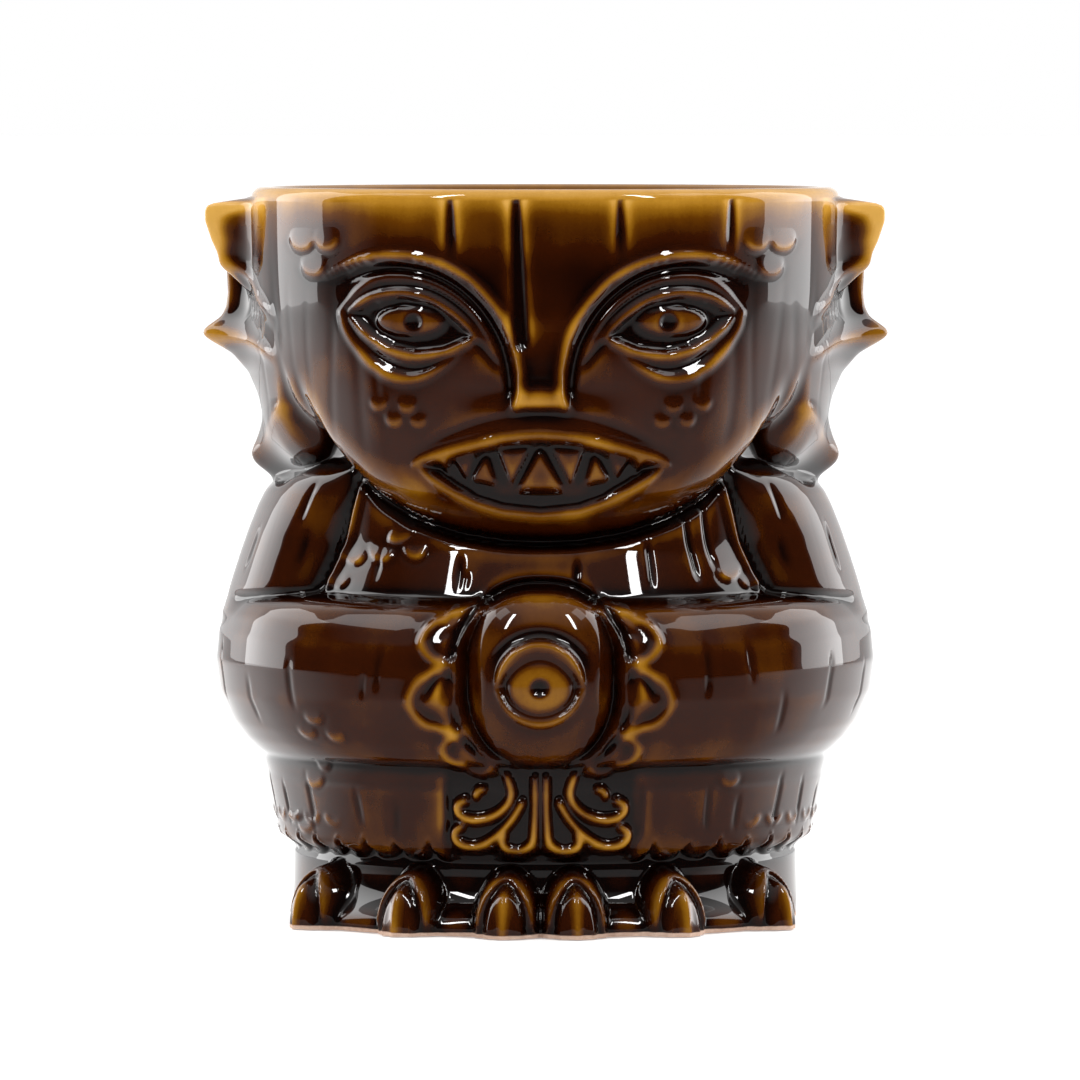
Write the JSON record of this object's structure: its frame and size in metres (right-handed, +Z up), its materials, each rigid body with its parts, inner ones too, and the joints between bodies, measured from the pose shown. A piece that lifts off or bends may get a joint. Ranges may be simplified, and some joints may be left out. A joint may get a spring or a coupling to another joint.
{
  "type": "tiki mug",
  "caption": "Glazed stoneware tiki mug shaped as a squat fish creature with finned ears that hugs an eyed orb; a deep round drinking cavity, clawed feet and a flat base.",
  "frame": {"origin": "centre of the flat bare foot, on the table under the cup's axis", "axes": "+Z up along the cup's axis; the face looks along -Y; +X is the viewer's right from the front"},
  "size_m": [0.1204, 0.1103, 0.1275],
  "materials": {
    "brown_glaze": "glossy translucent brown glaze, near black where it pools in the carving and amber on the edges",
    "amber_glaze": "the same glossy glaze where it runs thin over high relief and shows amber",
    "bare_clay": "matte unglazed pinkish buff stoneware"
  },
  "bodies": {
    "root": {"head_bowl": "brown_glaze", "torso_bowl": "brown_glaze", "plinth": "brown_glaze", "bare_foot": "bare_clay", "left_fin": "brown_glaze", "right_fin": "brown_glaze", "left_upper_arm": "brown_glaze", "right_upper_arm": "brown_glaze", "left_forearm": "brown_glaze", "right_forearm": "brown_glaze", "left_hand": "brown_glaze", "right_hand": "brown_glaze", "orb_body": "brown_glaze", "orb_eyelid": "amber_glaze", "orb_eyeball": "amber_glaze", "tentacles": "amber_glaze", "brow_and_nose": "brown_glaze", "left_eyelids": "brown_glaze", "right_eyelids": "brown_glaze", "left_eyeball": "amber_glaze", "right_eyeball": "amber_glaze", "lips": "amber_glaze", "teeth": "amber_glaze", "left_foot": "brown_glaze", "right_foot": "brown_glaze", "left_toe_claws": "amber_glaze", "right_toe_claws": "amber_glaze", "hem_scales": "brown_glaze"}
  },
  "joints": []
}
